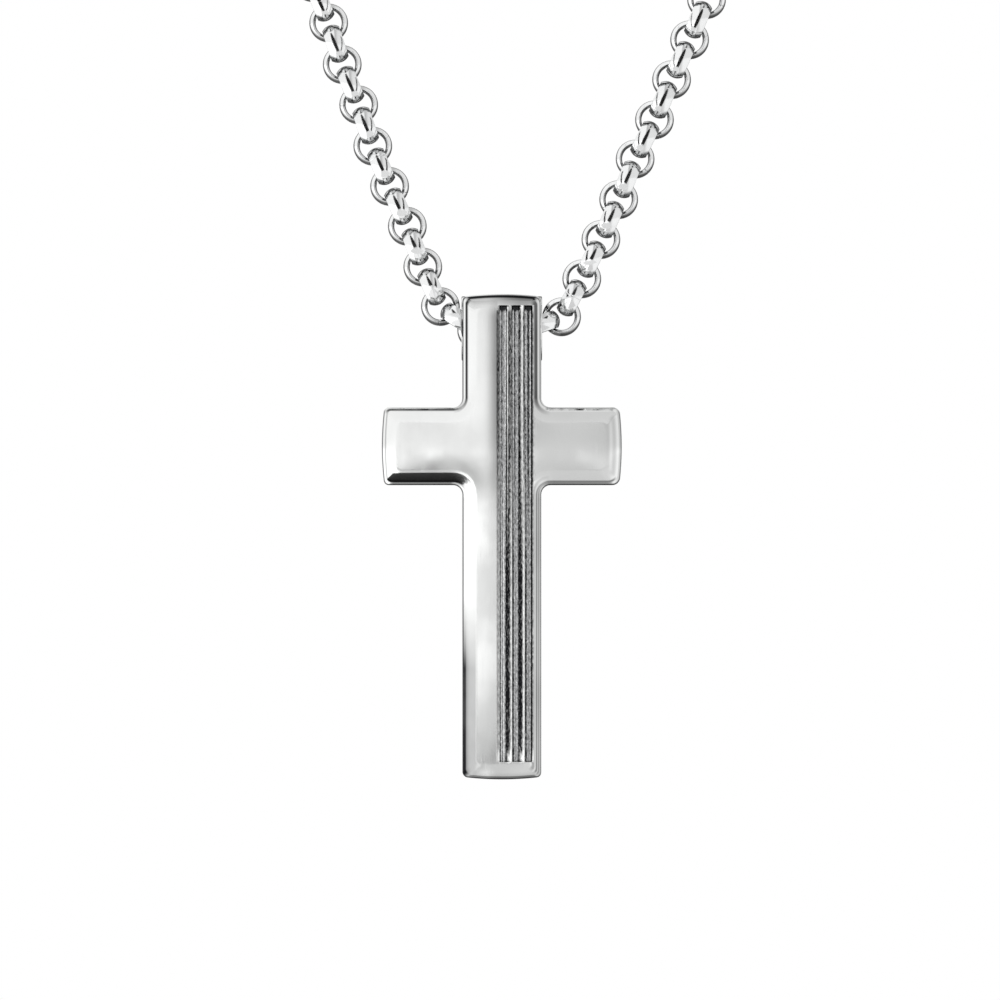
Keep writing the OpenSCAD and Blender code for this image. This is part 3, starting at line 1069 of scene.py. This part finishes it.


# %% [markdown]
# ## The lines in the grooves
#
# The cutting tool had a worn, toothed edge, so floors and flanks are not plain: fine dark and
# bright lines run all the way down them, painted reflections of the tent, and they change on the
# way. Cutting each line into the mesh would take hundreds of thousands of triangles, so the two
# ends are charted as rows of (x, share of dark) pairs, and a ramp for each row paints them. Fine
# specks break the lines up, as the tool's chatter does. Left of the grooves the face is painted
# darker for a millimetre, as painted shade.

# %% Rows of the painted lines in the grooves
TOP_LINES = [
    (-0.5, 0), (-0.37, 0.75), (-0.26, 0.8), (-0.14, 0.05), (-0.01, 0.95), (0.11, 0.4), (0.2, 0.65),
    (0.34, 0), (0.43, 0.9), (0.52, 0), (0.61, 0.95), (0.73, 0.7), (0.86, 0.85), (1.03, 0.05),
    (1.14, 1), (1.28, 0.45), (1.46, 0.5), (1.58, 0.87), (1.7, 0.65), (1.83, 0), (1.99, 0.95),
    (2.15, 0.05), (2.33, 0.9), (2.45, 0.95), (2.56, 0.2), (2.68, 0.95), (2.82, 0.5), (2.9, 0),
]
FOOT_LINES = [
    (-0.5, 0), (-0.42, 0.4), (-0.2, 0.4), (-0.12, 0.85), (-0.03, 0.1), (0.06, 0.75), (0.15, 0),
    (0.27, 0.55), (0.41, 0.97), (0.6, 0.93), (0.74, 0.75), (0.87, 0), (1.03, 0.97), (1.14, 0.35),
    (1.25, 0.6), (1.37, 0.3), (1.44, 0.7), (1.6, 1), (1.7, 0.97), (1.82, 0.87), (2.0, 0),
    (2.08, 0), (2.17, 1), (2.31, 0.45), (2.4, 0.6), (2.56, 0.5), (2.7, 0.95), (2.9, 0),
]

# %% The painted groove lines as nodes
LINES_FROM, LINES_TO = 5, -13
SPECK_TIMES = (9500, 9500, 2800)
SPECK_MEAN, SPECK_SHARE = 0.57, 1.1
# Painted shade on the face left of the grooves, and how it fades:
SHADE_LEFT, SHADE_FULL, SHADE_END = -2.1, -0.42, -0.36
SHADE_ABOVE, SHADE_BELOW, SHADE_FOOT = 0.7, 1.2, 2
SHADE_SHARE, LESS_DOWN = 0.6, 0.56


def painted_groove_light_and_shade(finish):
    """Share of painted dark: reflections in the grooves, two rows passing into each other, and shade
    beside.
    """
    x, _, z = finish.parts(finish.node("ShaderNodeTexCoord", output=OBJECT))
    x, z = (x - CROSS_AT.x) * (1 / MM), (z - CROSS_AT.z) * (1 / MM)
    left, width = TOP_LINES[0][0], TOP_LINES[-1][0] - TOP_LINES[0][0]
    across = (x - left) * (1 / width)
    rows = []
    for table in (TOP_LINES, FOOT_LINES):
        stops = [((at - left) / width, dark) for at, dark in table]
        rows.append(finish.node("ShaderNodeValToRGB", {"stops": stops}, {0: across}))
    down = finish.clamp(z, LINES_FROM, LINES_TO)
    specks = SPECK_SHARE * (SPECK_MEAN - finish.noise(SPECK_TIMES, 2))
    # Painted reflections: two rows of dark and light lines, broken by random specks.
    lines = finish.attribute("grooved") * (rows[0] * (1 - down) + rows[1] * down + specks)
    # Painted shade left of the grooves, weaker further down.
    nearer = finish.clamp(x, SHADE_LEFT, SHADE_FULL)
    beside = nearer * nearer * finish.clamp(x, SHADE_END, SHADE_FULL)
    beside = beside * finish.clamp(z, GROOVE_TOP + SHADE_ABOVE, GROOVE_TOP - SHADE_BELOW)
    beside = beside * finish.clamp(z, GROOVE_FOOT, GROOVE_FOOT + SHADE_FOOT)
    return lines + finish.attribute("front") * beside * (SHADE_SHARE - LESS_DOWN * down)


# %% [markdown]
# ## Polished steel
#
# The cross is stainless steel with a mirror polish that has been handled. Up close such a surface
# has hair-fine scratches along the strokes of the wheel and faint cloudy patches left by fingers.
# Neither has a colour of its own: both lie in how sharply the metal mirrors. Bump gives the
# scratches, the roughness the clouds, and the colour carries painted reflections and shade.

# %% Steel of the cross
def polished_steel():
    finish = Finish(bpy.data.materials.new("polished_steel"))
    clouds = finish.noise((260, 260, 190), 3)
    strokes = finish.noise((9000, 9000, 420), 3)
    hairs = finish.clamp(strokes, 0.62, 0.72)
    roughness = 0.07 + 0.05 * finish.clamp(clouds, 0.35, 0.7) + 0.02 * hairs
    fingers = 0.06 * finish.clamp(clouds, 0.3, 0.75)
    # Colour: faint random clouds, with painted reflections and painted shade along the edges and in
    # and beside the grooves.
    tone_and_painted_shade = fingers + finish.attribute("soot") + painted_groove_light_and_shade(finish)
    colour = finish.mixed(tone_and_painted_shade, (0.70, 0.705, 0.70), (0.006, 0.006, 0.007))
    bumps = finish.bumps(0.07, 0.002, strokes + 2 * hairs)
    return finish.steel(Base_Color=colour, Roughness=roughness, Normal=bumps)


# %% [markdown]
# ## Brushed back
#
# The flat back lies on the shirt and is never polished: an abrasive belt runs along the upright
# and leaves it satin. The strokes are the same kind of stretched noise, only deeper, and the
# roughness is high enough to spread what it mirrors into one even grey.

# %% Steel of the back
def brushed_steel():
    finish = Finish(bpy.data.materials.new("brushed_steel"))
    strokes = finish.noise((7000, 7000, 260), 3)
    streaks = finish.clamp(strokes, 0.35, 0.65)
    colour = finish.mixed(streaks, (0.86, 0.865, 0.86), (0.7, 0.705, 0.705))
    bumps = finish.bumps(0.3, 0.004, strokes)
    return finish.steel(Base_Color=colour, Roughness=0.5 + 0.14 * streaks, Normal=bumps)


# %% [markdown]
# ## Rough floors of the grooves
#
# The grooves were cut and left as the tool made them: grey, sparkling and uneven. A Voronoi
# pattern the size of coarse sand breaks the light into points, over the painted lines above.

# %% Steel of the groove floors
def cut_steel():
    finish = Finish(bpy.data.materials.new("cut_steel"))
    sand = finish.node(
        "ShaderNodeTexVoronoi", {"feature": "F1"},
        {"Vector": finish.stretched((5200, 5200, 5200)), "Scale": 1.0},
    )
    dirt = finish.noise((4200, 4200, 1900), 4)
    # Colour: painted reflections and painted shade of the grooves, broken by random specks.
    tone_and_painted_shade = painted_groove_light_and_shade(finish) + finish.attribute("soot")
    colour = finish.mixed(tone_and_painted_shade, (0.7, 0.705, 0.71), (0.02, 0.021, 0.022))
    roughness = 0.2 + 0.2 * finish.clamp(dirt, 0.3, 0.7)
    bumps = finish.bumps(0.5, 0.04, sand)
    return finish.steel(Base_Color=colour, Roughness=roughness, Normal=bumps)


# %% [markdown]
# ## Steel of the chain
#
# The links are tumbled rather than buffed, so they mirror a little less sharply than the cross,
# and the insides of the rings, which only touch each other, stay duller. They are also painted
# darker there, as painted shade between the links. The mesh carries a value that says how far
# round to the inside a point lies, and the painted shade and the roughness follow it.

# %% Steel of the links and of the clasp
def chain_steel(name, inner_side):
    finish = Finish(bpy.data.materials.new(name))
    clouds = finish.noise((700, 700, 700), 3)
    marks = finish.noise((5200, 5200, 5200), 2)
    roughness = 0.11 + 0.05 * finish.clamp(clouds, 0.35, 0.7) + 0.04 * finish.clamp(marks, 0.6, 0.7)
    dark = finish.clamp(clouds, 0.4, 0.9, 0, 0.2)
    if inner_side:
        inner = finish.attribute("hidden_side")
        # Painted shade on the insides of the rings, where the links hide each other.
        dark = dark + 0.8 * inner
        roughness = roughness + 0.1 * inner
    colour = finish.mixed(dark, (0.70, 0.705, 0.705), (0.42, 0.425, 0.43))
    bumps = finish.bumps(0.05, 0.004, marks)
    return finish.steel(Base_Color=colour, Roughness=roughness, Normal=bumps)


for finished in (polished_steel(), cut_steel(), brushed_steel()):
    cross_data.materials.append(finished)
link_finish = chain_steel("tumbled_steel", True)
for made in chain_pieces:
    made.data.materials.append(link_finish)
clasp_piece.data.materials.append(chain_steel("clasp_steel", False))
print("finishes:", [m.name for m in bpy.data.materials])

# %% [markdown]
# ## The studio
#
# Polished metal has no look of its own: it shows the room. Jewellery is therefore shot inside a
# white tent. Lamps could light the tent, but the reflections are all that counts here, so the tent
# is the world itself, painted by direction. Ahead it is white, and greyer to the right. Just below
# the level of the camera it is brightest, and a little further down it turns dark on the left and
# grey on the right. That dark is weaker in the corner at lower left, and towards the far left,
# which the left rolls mirror, it fades out. Behind the cross the tent is dark, which draws the
# thin outlines and the dark crescent under each link. The camera itself sees plain white.

# %% The tent
scene = bpy.context.scene
world = bpy.data.worlds.new("tent")
scene.world = world
tent = Finish(world)
to_right, to_back, upwards = tent.parts(tent.node("ShaderNodeTexCoord", output=GENERATED))

greyer = tent.clamp(to_right, -0.045, 0.04)
far_right = tent.clamp(to_right, 0.12, 0.5)
lit_below = tent.clamp(upwards, 0.001, -0.006)
corner = tent.clamp(to_right, -0.02, -0.05) * tent.clamp(upwards, -0.028, -0.045)
lower = tent.clamp(upwards, -0.0155, -0.024) * (1 - 0.75 * corner)
lower = lower * (1 - 0.35 * tent.clamp(upwards, -0.03, -0.07))
lower = lower * (1 - tent.clamp(to_right, -0.07, -0.12))
behind = tent.clamp(0.5 * upwards - to_back, -0.42, -0.85)
glow = 1.3 - 0.6 * greyer * (1 - 0.6 * far_right) + (0.5 - 0.2 * greyer) * lit_below
glow = (glow - (1.75 - 1.63 * greyer) * lower) * (1 - 0.92 * behind)
seen_by_camera = tent.node("ShaderNodeLightPath", output=0)
strength = glow * (1 - seen_by_camera) + seen_by_camera
backdrop = tent.node("ShaderNodeBackground", None, {"Color": (1, 1, 1, 1), "Strength": strength})
tent.node("ShaderNodeOutputWorld", None, {"Surface": backdrop})

# %% [markdown]
# ## Floor and cards
#
# A pale floor lies well below the pendant. Cards near it change what single parts of it mirror. A
# black card lies flat below the left arm, which gives that arm's lower edge the dark band that the
# right arm lacks. Two dark strips run in front of the chain and draw the thin streak along its
# edge-on links, and three white cards keep the strips out of the upper edges of the cross. The
# camera doesn't see the cards, only the metal does.

# %% Floor and cards
def card(name, middle, across, down, grey=0.01, glow=0.0, hidden=True):
    """A flat rectangle, from its middle and two half sides, in millimetres."""
    m, a, d = (np.array(v, float) for v in (middle, across, down))
    made = piece_from(name, [m - a - d, m + a - d, m + a + d, m - a + d], [(0, 1, 2, 3)])
    finish = Finish(bpy.data.materials.new(name + "_paint"))
    shade = finish.clamp(finish.noise((6, 6, 6), 2), 0.3, 0.7)
    paint = finish.mixed(shade, (grey,) * 3, (grey * 0.94,) * 3)
    made.data.materials.append(finish.surface({
        "Base Color": paint, "Roughness": 0.9,
        "Emission Color": (1, 1, 1, 1), "Emission Strength": glow,
    }))
    made.visible_camera = not hidden
    made.visible_glossy = hidden
    return made


card("floor", (0, -60, -260), (600, 0, 0), (0, 600, 0), 0.8, hidden=False)
card("card_below_arm", (-8.6, -115.8, -157.3), (4.4, 0, 0), (0, 4, 0))
card("card_over_left_arm", (-8.6, -131, -148.9), (4.8, 0, 0), (0, 18.9, 0), glow=1.22)
card("card_over_right_arm", (8.6, -131, -148.9), (4.8, 0, 0), (0, 18.9, 0), glow=0.85)
card("card_over_top", (0, -120.2, -138.8), (13, 0, 0), (0, 7.6, 0), glow=1.0)
card("strip_left", (-22.9, -126, -102.7), (4.6, 0, 2), (15.8, 0, -34))
card("strip_right", (23.2, -126, -102.7), (4.6, 0, -2), (-16, 0, -34))

# %% [markdown]
# ## The camera
#
# The picture was taken straight from the front with a long lens, which keeps the bars parallel.
# The view is ninety millimetres wide where the face of the cross is. A longer lens from further
# away gives the same frame with less perspective, so the chain behind keeps its size.

# %% Camera and colours
VIEW_WIDTH = 90.0
CAMERA_AWAY = 1200.0
VIEW_X, VIEW_Z = -0.162, -157.98
SENSOR_WIDTH = 36

camera_data = bpy.data.cameras.new("camera")
camera_data.sensor_width = SENSOR_WIDTH
camera_data.lens = SENSOR_WIDTH * CAMERA_AWAY / VIEW_WIDTH
camera_data.clip_start = 0.05
camera_data.clip_end = 20
camera = placed("camera", camera_data)
camera.location = (VIEW_X * MM, CROSS_AT.y - CAMERA_AWAY * MM, VIEW_Z * MM)
camera.rotation_euler = (math.pi / 2, 0, 0)
scene.camera = camera
scene.view_settings.view_transform = "Standard"
print("lens", round(camera_data.lens), "mm, camera", CAMERA_AWAY, "mm away")
